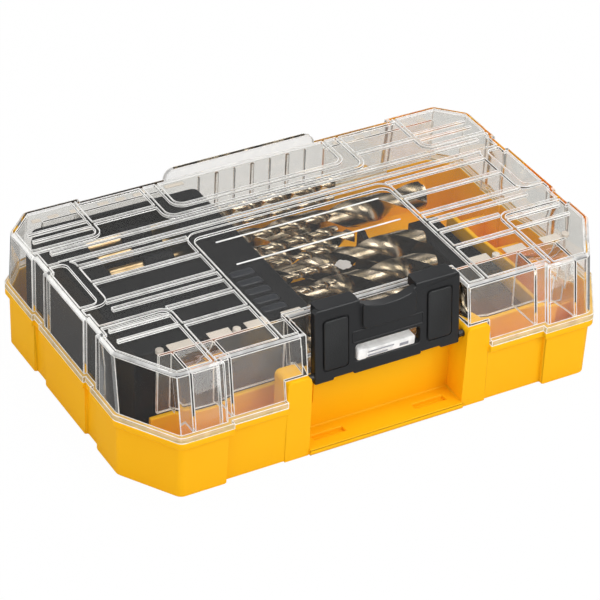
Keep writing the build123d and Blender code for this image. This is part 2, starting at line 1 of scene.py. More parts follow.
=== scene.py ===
"""Drill bit case: a yellow moulded tray, a clear hinged lid, a black latch and a rack of twist drills.

Metres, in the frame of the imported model: +X along the width, +Y to the hinge, +Z up.
"""

import json
import logging
import math
from dataclasses import dataclass
from enum import Enum

import bmesh
import bpy
import numpy as np
from bpy.types import Material, NodeSocket, NodeTree
from mathutils import Matrix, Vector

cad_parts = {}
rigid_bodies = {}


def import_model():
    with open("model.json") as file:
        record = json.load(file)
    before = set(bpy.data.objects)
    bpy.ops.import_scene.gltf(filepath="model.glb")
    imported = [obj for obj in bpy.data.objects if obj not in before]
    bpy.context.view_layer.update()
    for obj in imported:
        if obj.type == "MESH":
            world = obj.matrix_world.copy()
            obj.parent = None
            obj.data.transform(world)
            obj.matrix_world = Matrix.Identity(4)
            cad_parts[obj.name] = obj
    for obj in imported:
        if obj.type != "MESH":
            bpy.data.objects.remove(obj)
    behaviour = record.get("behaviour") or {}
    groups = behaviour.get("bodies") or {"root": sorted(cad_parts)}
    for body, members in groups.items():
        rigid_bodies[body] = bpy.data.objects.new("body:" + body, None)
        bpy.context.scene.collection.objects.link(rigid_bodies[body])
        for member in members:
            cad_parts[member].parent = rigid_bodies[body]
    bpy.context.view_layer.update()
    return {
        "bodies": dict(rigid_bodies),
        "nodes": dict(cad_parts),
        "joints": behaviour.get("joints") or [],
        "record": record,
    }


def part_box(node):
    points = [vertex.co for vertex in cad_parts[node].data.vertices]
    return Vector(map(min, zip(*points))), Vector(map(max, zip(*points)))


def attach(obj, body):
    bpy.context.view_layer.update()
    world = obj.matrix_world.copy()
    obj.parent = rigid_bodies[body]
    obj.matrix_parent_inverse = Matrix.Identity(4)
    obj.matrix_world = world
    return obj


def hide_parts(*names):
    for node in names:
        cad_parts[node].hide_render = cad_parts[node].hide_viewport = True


log = logging.getLogger("drill_bit_case")
MM = 0.001
FLOW_MARK_MM = 35.0  # how far the flow marks in moulded plastic lie apart
STEEL_TONE_MM = 6.0  # how far the tone of ground steel carries
MERGE_MADE_M = 1e-7  # points of a made mesh closer than this are one
MERGE_CAD_M = 2e-6  # the same for a CAD mesh, which comes as loose triangles
PASSED_LIGHT = "fdfdfc"  # what the clear plastic lets straight through


class Side(Enum):
    """The two sides of the case along X."""

    LEFT = -1
    RIGHT = 1


class Body(Enum):
    """The moving bodies that a piece can ride on."""

    TRAY = "tray_body"
    LID = "lid_body"
    LATCH = "latch_body"


# ---- colours and shader nodes ------------------------------------------------------------
def linear(hex_colour: str) -> tuple[float, float, float, float]:
    """Turns an sRGB hex colour into linear light.

    Args:
        hex_colour: six hex digits, such as "ffb81c".

    Returns:
        Linear red, green and blue, and an alpha of 1.
    """
    srgb = np.array([int(hex_colour[i:i + 2], 16) for i in (0, 2, 4)]) / 255
    low, high = srgb / 12.92, ((srgb + 0.055) / 1.055) ** 2.4
    return (*np.where(srgb <= 0.04045, low, high).tolist(), 1.0)


def add_node(tree: NodeTree, kind: str, links: dict | None = None, sockets: dict | None = None,
             **settings: object) -> bpy.types.Node:
    """Adds a node with its settings, socket values and incoming links.

    Args:
        tree: the node tree that gets the node.
        kind: the node's type name, without the ShaderNode in front.
        links: input name or number to the output socket that feeds it.
        sockets: input name or number to its plain value.
        **settings: attributes of the node.

    Returns:
        The new node.
    """
    node = tree.nodes.new("ShaderNode" + kind)
    for name, value in settings.items():
        setattr(node, name, value)
    for name, value in (sockets or {}).items():
        node.inputs[name].default_value = value
    for name, source in (links or {}).items():
        tree.links.new(source, node.inputs[name])
    return node


def new_material(name: str) -> tuple[Material, NodeTree]:
    """Makes a material with an empty node tree.

    Args:
        name: the material's name.

    Returns:
        The material and its tree.
    """
    material = bpy.data.materials.new(name)
    material.use_nodes = True
    material.node_tree.nodes.clear()
    return material, material.node_tree


def object_coordinates(tree: NodeTree) -> NodeSocket:
    """The object coordinates, in metres."""
    return add_node(tree, "TexCoord").outputs["Object"]


def larger(tree: NodeTree, one: NodeSocket, other: NodeSocket) -> NodeSocket:
    """The larger of two values."""
    return add_node(tree, "Math", {0: one, 1: other}, operation="MAXIMUM").outputs[0]


def spread(tree: NodeTree, value: NodeSocket, low: float, high: float) -> NodeSocket:
    """A value from 0 to 1 spread over low to high."""
    return add_node(tree, "MapRange", {"Value": value}, {"To Min": low, "To Max": high}).outputs["Result"]


def ramp_between(tree: NodeTree, fac: NodeSocket, low: tuple, high: tuple,
                 start: float = 0.35, end: float = 0.65) -> NodeSocket:
    """A colour that goes from low to high as fac goes from start to end.

    Args:
        tree: the node tree.
        fac: the value that picks the colour.
        low: the colour up to start.
        high: the colour from end on.
        start: where the change starts.
        end: where it ends.

    Returns:
        The colour's output socket.
    """
    ramp = add_node(tree, "ValToRGB", {"Fac": fac})
    ramp.color_ramp.elements[0].position, ramp.color_ramp.elements[1].position = start, end
    ramp.color_ramp.elements[0].color, ramp.color_ramp.elements[1].color = low, high
    return ramp.outputs["Color"]


@dataclass(frozen=True)
class MouldedPlastic:
    """Injection-moulded plastic: a solid colour, faint flow shading and a spark-eroded grain.

    Attributes:
        name: the material's name.
        colour: the main colour, sRGB hex.
        shade: the slightly darker colour of its flow marks.
        roughness: how matt the grain makes it.
        grain_mm: the size of one grain.
        relief_mm: the height of the grain.
        specular: how strongly it mirrors, 0.5 being usual for plastic.
    """

    name: str
    colour: str
    shade: str
    roughness: float
    grain_mm: float
    relief_mm: float
    specular: float = 0.5

    def build(self) -> Material:
        """Makes the material.

        Returns:
            The material.
        """
        material, tree = new_material(self.name)
        spot = object_coordinates(tree)
        flow = add_node(tree, "TexNoise", {"Vector": spot},
                        {"Scale": 1 / (FLOW_MARK_MM * MM), "Detail": 3.0, "Roughness": 0.5})
        grain = add_node(tree, "TexNoise", {"Vector": spot},
                         {"Scale": 1 / (self.grain_mm * MM), "Detail": 2.0, "Roughness": 0.6})
        bump = add_node(tree, "Bump", {"Height": grain.outputs["Fac"]},
                        {"Strength": 0.5, "Distance": self.relief_mm * MM})
        rough = spread(tree, flow.outputs["Fac"], self.roughness * 0.9, self.roughness * 1.1)
        colour = ramp_between(tree, flow.outputs["Fac"], linear(self.shade), linear(self.colour))
        shader = add_node(
            tree, "BsdfPrincipled",
            {"Base Color": colour, "Roughness": rough, "Normal": bump.outputs["Normal"]},
            {"Specular IOR Level": self.specular, "IOR": 1.5})
        add_node(tree, "OutputMaterial", {"Surface": shader.outputs["BSDF"]})
        return material


@dataclass(frozen=True)
class ClearPlastic:
    """Moulded polycarbonate: clear, a little grey in depth, with a haze where the tool was less polished.

    Attributes:
        name: the material's name.
        tint: what it lets through, sRGB hex.
        roughness: 0 is polished, more is frosted.
        haze: the share of the surface that scatters.
        haze_colour: the colour of what it scatters, sRGB hex.
        streak_mm: the width of the flow streaks that the haze comes in.
    """

    name: str
    tint: str
    roughness: float
    haze: float
    haze_colour: str = "ece7e1"
    streak_mm: float = 6.0

    def build(self) -> Material:
        """Makes the material.

        Shadow rays, diffuse rays and rays that were only mirrored go straight through it, so what
        it covers stays lit.

        Returns:
            The material.
        """
        material, tree = new_material(self.name)
        glass = add_node(tree, "BsdfPrincipled",
                         sockets={"Base Color": linear(self.tint), "Transmission Weight": 1.0, "IOR": 1.5,
                                  "Roughness": self.roughness})
        cloud = add_node(tree, "BsdfPrincipled",
                         sockets={"Base Color": linear(self.haze_colour), "Roughness": 0.45,
                                  "Specular IOR Level": 0.3})
        streaks = add_node(tree, "TexNoise", {"Vector": object_coordinates(tree)},
                           {"Scale": 1 / (self.streak_mm * MM), "Detail": 2.0})
        share = add_node(tree, "MapRange", {"Value": streaks.outputs["Fac"]},
                         {"From Min": 0.3, "From Max": 0.7,
                          "To Min": self.haze * 0.75, "To Max": self.haze * 1.25})
        surface = add_node(tree, "MixShader",
                           {0: share.outputs["Result"], 1: glass.outputs["BSDF"], 2: cloud.outputs["BSDF"]})
        through = add_node(tree, "BsdfTransparent", sockets={"Color": linear(PASSED_LIGHT)})
        rays = add_node(tree, "LightPath")
        mirrored = add_node(tree, "Math",
                            {0: rays.outputs["Is Glossy Ray"], 1: rays.outputs["Is Transmission Ray"]},
                            operation="SUBTRACT", use_clamp=True)
        soft = larger(tree, rays.outputs["Is Shadow Ray"], rays.outputs["Is Diffuse Ray"])
        straight = larger(tree, soft, mirrored.outputs[0])
        mix = add_node(tree, "MixShader",
                       {0: straight, 1: surface.outputs["Shader"], 2: through.outputs["BSDF"]})
        add_node(tree, "OutputMaterial", {"Surface": mix.outputs["Shader"]})
        return material


@dataclass(frozen=True)
class GroundSteel:
    """Ground and oxide-coloured high-speed steel: metal with fine grinding lines across its length.

    Attributes:
        name: the material's name.
        colour: the metal's colour, sRGB hex.
        shade: the colour in the darker bands.
        roughness: the ground surface's roughness.
        line_mm: the spacing of the grinding lines.
    """

    name: str
    colour: str
    shade: str
    roughness: float
    line_mm: float

    def build(self) -> Material:
        """Makes the material.

        Returns:
            The material.
        """
        material, tree = new_material(self.name)
        spot = object_coordinates(tree)
        stretched = add_node(tree, "Mapping", {"Vector": spot}, {"Scale": (1.0, 0.12, 0.12)})
        lines = add_node(tree, "TexNoise", {"Vector": stretched.outputs["Vector"]},
                         {"Scale": 1 / (self.line_mm * MM), "Detail": 2.0})
        tone = add_node(tree, "TexNoise", {"Vector": spot},
                        {"Scale": 1 / (STEEL_TONE_MM * MM), "Detail": 2.0})
        bump = add_node(tree, "Bump", {"Height": lines.outputs["Fac"]},
                        {"Strength": 0.25, "Distance": 0.02 * MM})
        rough = spread(tree, lines.outputs["Fac"], self.roughness * 0.8, self.roughness * 1.25)
        colour = ramp_between(tree, tone.outputs["Fac"], linear(self.shade), linear(self.colour))
        shader = add_node(
            tree, "BsdfPrincipled",
            {"Base Color": colour, "Roughness": rough, "Normal": bump.outputs["Normal"]},
            {"Metallic": 1.0})
        add_node(tree, "OutputMaterial", {"Surface": shader.outputs["BSDF"]})
        return material


# ABS, moulded against a fine matt tool: an even, warm yellow with soft highlights
YELLOW_ABS = MouldedPlastic("yellow_abs_moulded", "ffbe12", "ffbb10", 0.45, 0.5, 0.02, 0.1)
# ABS with a spark-eroded texture: black that shows a grey sheen where it leans to the light
BLACK_TEXTURED = MouldedPlastic("black_abs_textured", "222325", "1d1e20", 0.45, 0.45, 0.06, 0.8)
# the latch's panels have a coarser grain, drawn a little coarse so that it shows
BLACK_STIPPLED = MouldedPlastic("black_abs_stippled", "2c2d2e", "1c1d1e", 0.5, 0.6, 0.25, 0.7)
# polypropylene, smoother, with a faint blue; the crowns' finish is polished and lighter, the lighter colour
# being a painted highlight
RACK_BLACK = MouldedPlastic("rack_polypropylene_moulded", "0e1017", "0b0c11", 0.4, 0.8, 0.02, 0.16)
RACK_PAINTED_SHEEN = MouldedPlastic("rack_polypropylene_polished_painted_highlight", "262a35", "20242d", 0.3, 0.8, 0.01, 0.6)
# polycarbonate: the plate is polished and the walls carry a faint haze; the white haze on the rounded edges
# and on the lines along the edges is a painted highlight
CLEAR_PC = ClearPlastic("clear_polycarbonate_polished", "f1f0ed", 0.0, 0.004)
HAZY_PC = ClearPlastic("clear_polycarbonate_satin", "fbfaf8", 0.04, 0.06, "f3f0ed")
EDGE_HIGHLIGHT_PC = ClearPlastic("clear_polycarbonate_edge_painted_highlight", "fbfaf8", 0.05, 0.5, "fdfcfa")
LINE_HIGHLIGHT_PC = ClearPlastic("clear_polycarbonate_crest_painted_highlight", "fbfaf8", 0.05, 0.8, "fbfaf8")
# the rim's yellow haze is a painted glow of the tray's yellow seen through it; the tongue's insets and the
# gate's mark are greyer
RIM_GLOW_PC = ClearPlastic("clear_polycarbonate_rim_painted_tray_glow", "fbf6e8", 0.1, 0.5, "f5d490")
INSET_PC = ClearPlastic("frosted_polycarbonate_shadowed", "e8e8ec", 0.3, 0.8, "85858f")
GATE_PC = ClearPlastic("frosted_polycarbonate_gate", "efedea", 0.35, 0.4, "d9d4cf", 0.8)
FROSTED_PC = ClearPlastic("frosted_polycarbonate_moulded", "f4f1ec", 0.3, 0.8, "efe4d9")
# bronze-coloured oxide over ground high-speed steel: bright warm highlights, brown flutes
BRONZE_STEEL = GroundSteel("oxide_steel_ground", "c8b9a6", "94866f", 0.22, 0.35)
SHANK_STEEL = GroundSteel("oxide_steel_shank", "d9bd92", "c4a67a", 0.3, 0.5)
PIN_STEEL = GroundSteel("plain_steel_drawn", "b8b8b8", "9c9c9c", 0.3, 0.3)


# ---- meshes ------------------------------------------------------------------------------
def make_piece(name: str, vertices: np.ndarray, faces: list, material: Material,
               body: str, smooth_angle: float | None = 40.0) -> bpy.types.Object:
    """Makes an object from arrays, with normals outwards, and lets it ride on a body.

    Args:
        name: the piece's name.
        vertices: an array of points in metres.
        faces: lists of point numbers.
        material: its finish.
        body: the body that it moves with.
        smooth_angle: edges flatter than this, in degrees, are shaded smooth.

    Returns:
        The new object.
    """
    mesh = bpy.data.meshes.new(name)
    mesh.from_pydata(vertices.tolist(), [], faces)
    work = bmesh.new()
    work.from_mesh(mesh)
    bmesh.ops.remove_doubles(work, verts=work.verts, dist=MERGE_MADE_M)
    bmesh.ops.recalc_face_normals(work, faces=work.faces)
    work.to_mesh(mesh)
    work.free()
    mesh.materials.append(material)
    piece = bpy.data.objects.new(name, mesh)
    bpy.context.scene.collection.objects.link(piece)
    if smooth_angle is not None:
        mesh.shade_smooth()
        mesh.set_sharp_from_angle(angle=math.radians(smooth_angle))
    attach(piece, body)
    return piece


def ring_faces(rings: int, points: int) -> list:
    """Quads between rings of points, each ring closed, with a face over both ends.

    Args:
        rings: how many rings follow each other.
        points: how many points a ring has.

    Returns:
        The faces as lists of point numbers.
    """
    row, column = np.meshgrid(np.arange(rings - 1), np.arange(points), indexing="ij")
    following = (column + 1) % points
    quads = np.stack([row * points + column, row * points + following,
                      (row + 1) * points + following, (row + 1) * points + column], -1)
    faces = quads.reshape(-1, 4).tolist()
    faces.append(list(range(points))[::-1])
    faces.append([(rings - 1) * points + i for i in range(points)])
    return faces


def loop_faces(rings: int, points: int) -> list:
    """Quads over a tube that runs round and meets its own start.

    Args:
        rings: how many rings follow each other.
        points: how many points a ring has.

    Returns:
        The faces as lists of point numbers.
    """
    row, column = np.meshgrid(np.arange(rings), np.arange(points), indexing="ij")
    ahead, following = (row + 1) % rings, (column + 1) % points
    quads = np.stack([row * points + column, row * points + following,
                      ahead * points + following, ahead * points + column], -1)
    return quads.reshape(-1, 4).tolist()


def ridge(outline: np.ndarray, width: float, height: float, steps: int = 10) -> np.ndarray:
    """A moulded ridge along a closed outline, half sunk in the face that it stands on.

    Its section is an ellipse: the outline's point plus half the width times cos t along the
    outline's normal, and height times sin t out of the plane.

    Args:
        outline: points going round.
        width: across the ridge.
        height: above the face.
        steps: points round the section.

    Returns:
        Rings of points: (point of the outline, point of the section, xyz).
    """
    ahead = np.roll(outline, -1, axis=0) - np.roll(outline, 1, axis=0)
    normal = np.stack([ahead[:, 1], -ahead[:, 0]], -1) / np.linalg.norm(ahead, axis=1)[:, None]
    t = np.linspace(0, 2 * np.pi, steps, endpoint=False)
    flat = outline[:, None, :] + normal[:, None, :] * (width / 2 * np.cos(t))[None, :, None]
    rise = np.broadcast_to((height * np.sin(t))[None, :, None], flat.shape[:2] + (1,))
    return np.concatenate([flat, rise], -1)


def circle(radius: float, steps: int = 28) -> np.ndarray:
    """A circle round the origin: radius times (cos t, sin t)."""
    t = np.linspace(0, 2 * np.pi, steps, endpoint=False)
    return radius * np.stack([np.cos(t), np.sin(t)], -1)


def rounded_rectangle(width: float, height: float, corner: float, steps: int = 6) -> np.ndarray:
    """The outline of a rounded rectangle round the origin.

    Each corner is a quarter circle: its middle plus corner times (cos t, sin t).

    Args:
        width: its size along the first axis.
        height: its size along the second axis.
        corner: the corners' radius.
        steps: points per corner, less one.

    Returns:
        An array of points, one row each, going round anticlockwise.
    """
    corner = min(corner, width / 2 - 1e-6, height / 2 - 1e-6)
    quarter = np.linspace(0, np.pi / 2, steps + 1)
    turns = (quarter[None, :] + np.arange(4)[:, None] * np.pi / 2).ravel()
    signs = np.repeat(np.array([[1, 1], [-1, 1], [-1, -1], [1, -1]], float), steps + 1, axis=0)
    middle = signs * np.array([width / 2 - corner, height / 2 - corner])
    return middle + corner * np.stack([np.cos(turns), np.sin(turns)], -1)


def pillow(outline: np.ndarray, thickness: float, edge: float, steps: int = 3) -> np.ndarray:
    """A flat plate with a rounded edge: an outline carried through its thickness.

    At each level the outline is drawn in by edge times (1 - sin t), while the height goes
    from the face by edge times (1 - cos t), with t from 0 to a quarter turn.

    Args:
        outline: the plate's outline, about the origin.
        thickness: from its lower to its upper face.
        edge: the radius of the rounded edges.
        steps: levels per rounded edge, less one.

    Returns:
        Rings of points: (level, point, xyz), from the lower face at z = 0 upwards.
    """
    t = np.linspace(0, np.pi / 2, steps + 1)
    inset = np.concatenate([edge * (1 - np.sin(t)), (edge * (1 - np.sin(t)))[::-1]])
    height = np.concatenate([edge * (1 - np.cos(t)), thickness - (edge * (1 - np.cos(t)))[::-1]])
    half = np.abs(outline).max(axis=0)
    scale = (half[None, :] - inset[:, None]) / half[None, :]
    rings = outline[None, :, :] * scale[:, None, :]
    return np.concatenate([rings, np.broadcast_to(height[:, None, None], rings.shape[:2] + (1,))], -1)


def place(rings: np.ndarray, origin: tuple, right: tuple, up: tuple) -> np.ndarray:
    """Puts rings made about the origin into the case's frame.

    Args:
        rings: points as (…, 3), in metres: along right, along up, and out of their plane.
        origin: where the rings' origin goes.
        right: unit vector for the first coordinate.
        up: unit vector for the second coordinate.

    Returns:
        The points as one flat array of rows.
    """
    axes = np.array([right, up, np.cross(right, up)], float)
    return (rings.reshape(-1, 3) @ axes) + np.array(origin, float)


def edge_rods(mesh: bpy.types.Mesh, angle_deg: float, radius_mm: float,
              box: tuple) -> tuple[np.ndarray, list]:
    """Thin six-sided rods along a mesh's sharp edges, which carry a painted highlight line.

    Each rod's middle is the edge, drawn in by half the radius against the sum of its two faces'
    normals. A ring is that middle plus the radius times (cos t, sin t) across the edge.

    Args:
        mesh: a mesh with merged points.
        angle_deg: edges sharper than this get a rod.
        radius_mm: the rods' radius.
        box: lowest and highest corner, in metres, that the rods stay inside.

    Returns:
        Points and faces of all the rods.
    """
    work = bmesh.new()
    work.from_mesh(mesh)
    sharp = [edge for edge in work.edges
             if len(edge.link_faces) == 2 and edge.calc_face_angle() > math.radians(angle_deg)]
    ends = np.array([[edge.verts[0].co, edge.verts[1].co] for edge in sharp])
    outward = np.array([edge.link_faces[0].normal + edge.link_faces[1].normal for edge in sharp])
    work.free()
    along = ends[:, 1] - ends[:, 0]
    length = np.linalg.norm(along, axis=1)
    kept = (length > 1e-5) & (np.linalg.norm(outward, axis=1) > 0.1)
    ends, outward, along = ends[kept], outward[kept], along[kept] / length[kept, None]
    outward /= np.linalg.norm(outward, axis=1)[:, None]
    across = np.cross(along, outward)
    radius = radius_mm * MM
    t = np.linspace(0, 2 * np.pi, 6, endpoint=False)
    ring = radius * (np.cos(t)[None, :, None] * outward[:, None]
                     + np.sin(t)[None, :, None] * across[:, None])
    reach = np.array([-0.3, 0.3])[None, :, None] * radius * along[:, None]
    middles = ends + reach - 0.5 * radius * outward[:, None]
    points = np.clip((middles[:, :, None] + ring[:, None]).reshape(-1, 3), *np.array(box))
    start = 12 * np.arange(len(ends))[:, None, None]
    column = np.arange(6)
    sides = np.stack([column, (column + 1) % 6, (column + 1) % 6 + 6, column + 6], -1)
    caps = np.array([column[::-1], column + 6])
    faces = (start + sides[None]).reshape(-1, 4).tolist() + (start + caps[None]).reshape(-1, 6).tolist()
    return points, faces


def face_values(mesh: bpy.types.Mesh, name: str) -> np.ndarray:
    """One vector per face of a mesh.

    Args:
        mesh: the mesh.
        name: which vector, "normal" or "center".

    Returns:
        An array with a row per face.
    """
    values = np.empty(len(mesh.polygons) * 3)
    mesh.polygons.foreach_get(name, values)
    return values.reshape(-1, 3)


def upright(rings: np.ndarray, spot_mm: tuple) -> tuple[np.ndarray, list]:
    """Points, in metres, and faces of a shell that stands level at a spot; all given in mm."""
    points = place(rings * MM, tuple(value * MM for value in spot_mm), (1, 0, 0), (0, 1, 0))
    return points, ring_faces(*rings.shape[:2])


def rounded_block(low: tuple, high: tuple, edge: float) -> tuple[np.ndarray, list]:
    """A block with all its edges rounded: a pillow on a rounded rectangle.

    Args:
        low: its lowest corner, in mm.
        high: its highest corner, in mm.
        edge: the radius of its edges, in mm.

    Returns:
        Its points, in metres, and its faces.
    """
    low_mm, high_mm = np.array(low, float), np.array(high, float)
    size = high_mm - low_mm
    edge = min(edge, *(size / 2.01))
    rings = pillow(rounded_rectangle(size[0], size[1], edge, 3), size[2], edge)
    middle = (low_mm + high_mm) / 2
    return upright(rings, (middle[0], middle[1], low_mm[2]))


def join_meshes(parts: list[tuple[np.ndarray, list]]) -> tuple[np.ndarray, list]:
    """Puts several closed shells into one mesh.

    Args:
        parts: the points and faces of each shell.

    Returns:
        The points and faces of them all.
    """
    points, faces, start = [], [], 0
    for shell, shell_faces in parts:
        points.append(shell)
        faces += [[start + i for i in face] for face in shell_faces]
        start += len(shell)
    return np.concatenate(points), faces


def roomy_edges(work: bmesh.types.BMesh, angle_deg: float, room_mm: float = 1.0) -> list[float]:
    """The bevel weight of each edge.

    It is 1 where the edge is sharp and no short edge turns off at its ends, else 0.

    Args:
        work: the mesh, in metres, with merged points.
        angle_deg: edges sharper than this may be rounded.
        room_mm: an edge that turns off must be this long.

    Returns:
        The weights in the order of the mesh's edges.
    """
    weights = []
    for edge in work.edges:
        along = (edge.verts[1].co - edge.verts[0].co).normalized()
        turning = [other.calc_length() for vertex in edge.verts for other in vertex.link_edges
                   if abs(along.dot((other.verts[1].co - other.verts[0].co).normalized())) < 0.9]
        sharp = len(edge.link_faces) == 2 and edge.calc_face_angle() > math.radians(angle_deg)
        weights.append(float(sharp and min(turning, default=1.0) >= room_mm * MM))
    return weights


def softened_copy(node: str, material: Material, edge_mm: float, segments: int = 2,
                  angle: float = 28.0) -> bpy.types.Object:
    """A copy of a CAD node with its triangles merged and its edges rounded as a mould leaves them.

    Args:
        node: the CAD node's name.
        material: the copy's finish.
        edge_mm: the width of the rounded edge, or 0 to leave the edges as they are.
        segments: faces across that edge.
        angle: edges sharper than this, in degrees, are rounded.

    Returns:
        The new object, which stands for the node.
    """
    source = bpy.data.objects[node] if node in bpy.data.objects else FRAME["nodes"][node]
    mesh = source.data.copy()
    mesh.name = node + "_moulded"
    mesh.transform(source.matrix_world)
    work = bmesh.new()
    work.from_mesh(mesh)
    bmesh.ops.remove_doubles(work, verts=work.verts, dist=MERGE_CAD_M)
    bmesh.ops.dissolve_limit(work, angle_limit=math.radians(0.6), verts=work.verts, edges=work.edges)
    bmesh.ops.recalc_face_normals(work, faces=work.faces)
    weights = roomy_edges(work, angle)
    work.to_mesh(mesh)
    work.free()
    mesh.attributes.new("bevel_weight_edge", "FLOAT", "EDGE").data.foreach_set("value", weights)
    mesh.materials.clear()
    mesh.materials.append(material)
    mesh.shade_smooth()
    mesh.set_sharp_from_angle(angle=math.radians(30))
    piece = bpy.data.objects.new(node + "_moulded", mesh)
    bpy.context.scene.collection.objects.link(piece)
    if edge_mm:
        bevel = piece.modifiers.new("moulded_edges", "BEVEL")
        bevel.width = edge_mm * MM
        bevel.segments = segments
        bevel.limit_method = "WEIGHT"
        bevel.harden_normals = True
        bevel.use_clamp_overlap = False
    flat = piece.modifiers.new("flat_faces", "WEIGHTED_NORMAL")
    flat.weight = 100
    flat.keep_sharp = True
    body = next(name for name, nodes in FRAME["record"]["behaviour"]["bodies"].items() if node in nodes)
    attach(piece, body)
    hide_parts(node)
    return piece


FRAME: dict = {}


# ---- sub-assemblies ----------------------------------------------------------------------
@dataclass
class Tray:
    """The moulded tray.

    Attributes:
        edge_mm: the width of its rounded edges.
        slot_mm: the middle of the ledge's slots, along X from the case's middle, and along Y.
        slot_half_mm: half the size of the skin under a slot, along X and Y.
        slot_floor_mm: the skin's lower and upper height.
    """

    edge_mm: float = 0.5
    slot_mm: tuple = (24.5, -62.6)
    slot_half_mm: tuple = (7.6, 1.7)
    slot_floor_mm: tuple = (0.3, 1.3)

    def build(self, finish: Material) -> None:
        """Makes the tray, and the thin skins that close the ledge's two slots underneath.

        Args:
            finish: the tray's finish.
        """
        softened_copy("tray", finish, self.edge_mm)
        (x, y), (half_x, half_y), (low, high) = self.slot_mm, self.slot_half_mm, self.slot_floor_mm
        points, faces = join_meshes([
            rounded_block((side.value * x - half_x, y - half_y, low),
                          (side.value * x + half_x, y + half_y, high), 0.1)
            for side in Side])
        make_piece("tray_slot_floors", points, faces, finish, Body.TRAY.value)
        log.info("tray: made")


@dataclass
class Rack:
    """The tall rack and the low rest under the flutes.

    Attributes:
        edge_mm: the width of their rounded edges.
        top_mm: the height of the rack's top.
        crown_xs_mm: where the crowns start and end along X.
        crown_ys_mm: the middle of each crown along Y.
        crown_width_mm: a crown's size along Y.
        crown_mm: how far a crown stands up.
    """

    edge_mm: float = 0.5
    top_mm: float = 55.2
    crown_xs_mm: tuple = (-44.6, -33.6)
    crown_ys_mm: tuple = (-11.5, -18.5, -25.5, -32.5, -39.0)
    crown_width_mm: float = 4.6
    crown_mm: float = 0.45

    def build(self, finish: Material, crown_highlight_finish: Material) -> None:
        """Makes both pieces, and the low crowns that the collars raise in the rack's top.

        Args:
            finish: the finish of rack and rest.
            crown_highlight_finish: the finish of the crowns, polished and lighter than the rack as a
                painted highlight.
        """
        for node in ("bit_rack", "bit_rest"):
            softened_copy(node, finish, self.edge_mm)
            log.info("%s: made", node)
        low, high = self.crown_xs_mm
        crowns = []
        for y in self.crown_ys_mm:
            outline = rounded_rectangle(high - low, self.crown_width_mm, 1.2)
            rings = pillow(outline, self.crown_mm * 2, self.crown_mm * 1.9, 5)
            crowns.append(upright(rings, ((low + high) / 2, y, self.top_mm - self.crown_mm)))
        points, faces = join_meshes(crowns)
        # the crowns' lighter colour is a painted highlight
        make_piece("rack_crowns", points, faces, crown_highlight_finish, Body.TRAY.value, 60.0)
        log.info("rack crowns: made")


@dataclass
class Latch:
    """The front latch with its stippled panels and the bare band between them.

    Attributes:
        edge_mm: the width of its rounded edges.
        foot_mm: the height where the front face starts.
        front_y_mm: where the face's foot is along Y.
        lean_deg: how far the face leans back.
        panel_x_mm: the panels' middle along X, from the case's middle.
        panel_half_mm: half a panel's width.
        panel_low_mm: the height of a panel's foot.
        panel_high_mm: the height of its top.
        panel_sink_mm: how deep it starts below the face.
        panel_rise_mm: how far it stands out of the face.
        band_half_mm: half the band's width.
        band_low_mm: the height of the band's foot.
        band_high_mm: the height of its top.
        ridge_mm: the width of the ridge round it.
    """

    edge_mm: float = 0.38
    foot_mm: float = 34.2
    front_y_mm: float = -66.4
    lean_deg: float = 6.0
    panel_x_mm: float = 24.6
    panel_half_mm: float = 5.6
    panel_low_mm: float = 38.6
    panel_high_mm: float = 61.2
    panel_sink_mm: float = 0.5
    panel_rise_mm: float = 0.7
    band_half_mm: float = 16.6
    band_low_mm: float = 47.6
    band_high_mm: float = 52.6
    ridge_mm: float = 0.7

    def on_face(self, rings: np.ndarray, x_mm: float, z_mm: float, sink_mm: float) -> np.ndarray:
        """Puts rings on the leaning front face.

        Args:
            rings: points about the origin, in mm.
            x_mm: where they go along X.
            z_mm: the height that they go to.
            sink_mm: how far below the face.

        Returns:
            The points as one flat array of rows, in metres.
        """
        lean = math.radians(self.lean_deg)
        height = (z_mm - self.foot_mm) / math.cos(lean)
        origin = np.array([x_mm, self.front_y_mm + height * math.sin(lean) + sink_mm * math.cos(lean),
                           self.foot_mm + height * math.cos(lean) - sink_mm * math.sin(lean)])
        return place(rings * MM, tuple(origin * MM), (1, 0, 0), (0, math.sin(lean), math.cos(lean)))

    def panels(self, finish: Material) -> None:
        """Makes the two stippled panels, which stand a little proud of the face.

        Args:
            finish: the panels' finish.
        """
        lean = math.radians(self.lean_deg)
        tall = (self.panel_high_mm - self.panel_low_mm) / math.cos(lean)
        thickness = self.panel_sink_mm + self.panel_rise_mm
        for side in Side:
            rings = pillow(rounded_rectangle(2 * self.panel_half_mm, tall, 1.6), thickness, 0.4)
            middle = (self.panel_low_mm + self.panel_high_mm) / 2
            points = self.on_face(rings, side.value * self.panel_x_mm, middle, self.panel_sink_mm)
            panel = make_piece(f"latch_panel_{side.name.lower()}", points,
                               ring_faces(*rings.shape[:2]), finish, Body.LATCH.value)

    def band(self, finish: Material) -> None:
        """Makes the thin border round the band that is left bare.

        Args:
            finish: the border's finish.
        """
        outline = rounded_rectangle(2 * self.band_half_mm, self.band_high_mm - self.band_low_mm, 0.6)
        rings = ridge(outline, self.ridge_mm, 0.3)
        points = self.on_face(rings, 0.0, (self.band_low_mm + self.band_high_mm) / 2, 0.0)
        band = make_piece("latch_band_border", points, loop_faces(*rings.shape[:2]), finish,
                          Body.LATCH.value, 60.0)

    def build(self, body_finish: Material, panel_finish: Material) -> None:
        """Makes the latch, its panels and its band.

        Args:
            body_finish: the finish of the latch and the border.
            panel_finish: the finish of the panels.
        """
        softened_copy("latch", body_finish, self.edge_mm, 3)
        self.panels(panel_finish)
        self.band(body_finish)
        log.info("latch: made")


